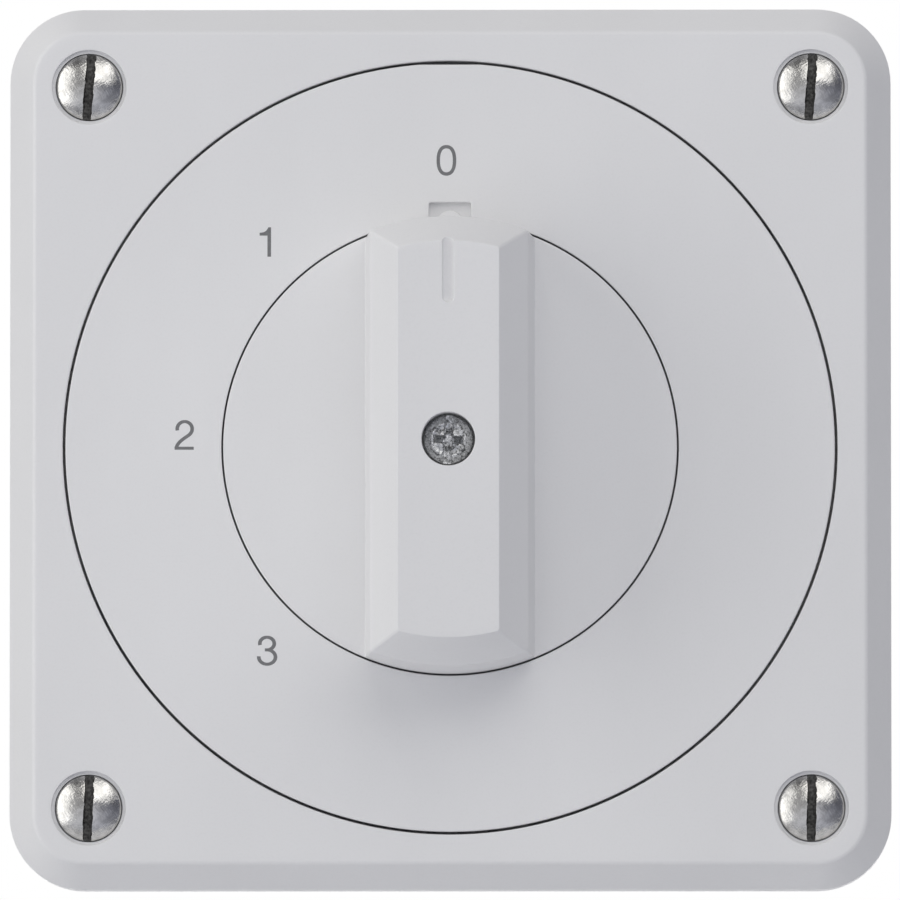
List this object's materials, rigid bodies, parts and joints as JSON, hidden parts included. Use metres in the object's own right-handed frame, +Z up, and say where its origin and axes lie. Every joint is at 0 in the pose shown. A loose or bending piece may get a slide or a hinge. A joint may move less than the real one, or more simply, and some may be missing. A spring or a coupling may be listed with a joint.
{
  "type": "flush rotary switch",
  "caption": "Square flush-mounted rotary stage switch: bevelled cover plate with corner screws, round centre disc, and a bar knob that clicks through numbered positions.",
  "frame": {"origin": "the knob's axis in the plane of the wall, which is the rear face of the mounting plate", "axes": "front of the switch faces -Y, +Y points into the wall along the knob's axis, +Z is up, +X is to the user's right"},
  "size_m": [0.088, 0.056, 0.088],
  "materials": {
    "white_plastic": "moulded thermoplastic, fine satin grain",
    "natural_plastic": "natural acetal",
    "grey_plastic": "glass filled polyamide, matt",
    "black_plastic": "thermoset, satin",
    "seal_rubber": "matt",
    "nickel_plated": "bright nickel plate",
    "zinc_plated": "blue zinc plate",
    "spring_steel": "rolled, bright",
    "contact_brass": "stamped, satin",
    "contact_silver": "riveted silver alloy"
  },
  "bodies": {
    "switch_frame": {"cover_plate": "white_plastic", "centre_disc": "white_plastic", "wall_gasket": "seal_rubber", "disc_gasket": "seal_rubber", "knob_seal": "seal_rubber", "mounting_plate": "zinc_plated", "cover_screw_top_left": "nickel_plated", "cover_screw_top_right": "nickel_plated", "cover_screw_bottom_left": "nickel_plated", "cover_screw_bottom_right": "nickel_plated", "housing_front": "grey_plastic", "housing_base": "black_plastic", "mounting_screw_left": "zinc_plated", "mounting_screw_right": "zinc_plated", "housing_screw_top": "zinc_plated", "housing_screw_bottom": "zinc_plated", "detent_spring_right": "spring_steel", "detent_spring_left": "spring_steel", "thrust_washer": "zinc_plated", "contact_stage_1": "contact_brass", "contact_stage_2": "contact_brass", "contact_stage_3": "contact_brass", "contact_supply": "contact_brass", "contact_tip_stage_1": "contact_silver", "contact_tip_stage_2": "contact_silver", "contact_tip_stage_3": "contact_silver"},
    "knob_shaft": {"knob": "white_plastic", "knob_screw": "zinc_plated", "spindle": "zinc_plated", "index_wheel": "natural_plastic", "contact_carrier": "grey_plastic", "wiper_contact": "contact_brass", "wiper_tip_inner": "contact_silver", "wiper_tip_outer": "contact_silver", "wiper_spring": "spring_steel", "spindle_circlip": "spring_steel"},
    "clamp_stage_1": {"clamp_plate_stage_1": "zinc_plated", "terminal_screw_stage_1": "zinc_plated"},
    "clamp_stage_2": {"clamp_plate_stage_2": "zinc_plated", "terminal_screw_stage_2": "zinc_plated"},
    "clamp_stage_3": {"clamp_plate_stage_3": "zinc_plated", "terminal_screw_stage_3": "zinc_plated"},
    "clamp_supply": {"clamp_plate_supply": "zinc_plated", "terminal_screw_supply": "zinc_plated"}
  },
  "joints": [
    {"name": "knob_turn", "type": "hinge", "parent": "switch_frame", "child": "knob_shaft", "pos_m": [0, 0, 0], "axis": [0, -1, 0], "range_deg": [0, 135], "deforming": ["detent_spring_right", "detent_spring_left"]},
    {"name": "clamp_stage_1_slide", "type": "slide", "parent": "switch_frame", "child": "clamp_stage_1", "axis": [0, -1, 0], "range_m": [0, 0.002]},
    {"name": "clamp_stage_2_slide", "type": "slide", "parent": "switch_frame", "child": "clamp_stage_2", "axis": [0, -1, 0], "range_m": [0, 0.002]},
    {"name": "clamp_stage_3_slide", "type": "slide", "parent": "switch_frame", "child": "clamp_stage_3", "axis": [0, -1, 0], "range_m": [0, 0.002]},
    {"name": "clamp_supply_slide", "type": "slide", "parent": "switch_frame", "child": "clamp_supply", "axis": [0, -1, 0], "range_m": [0, 0.002]}
  ]
}
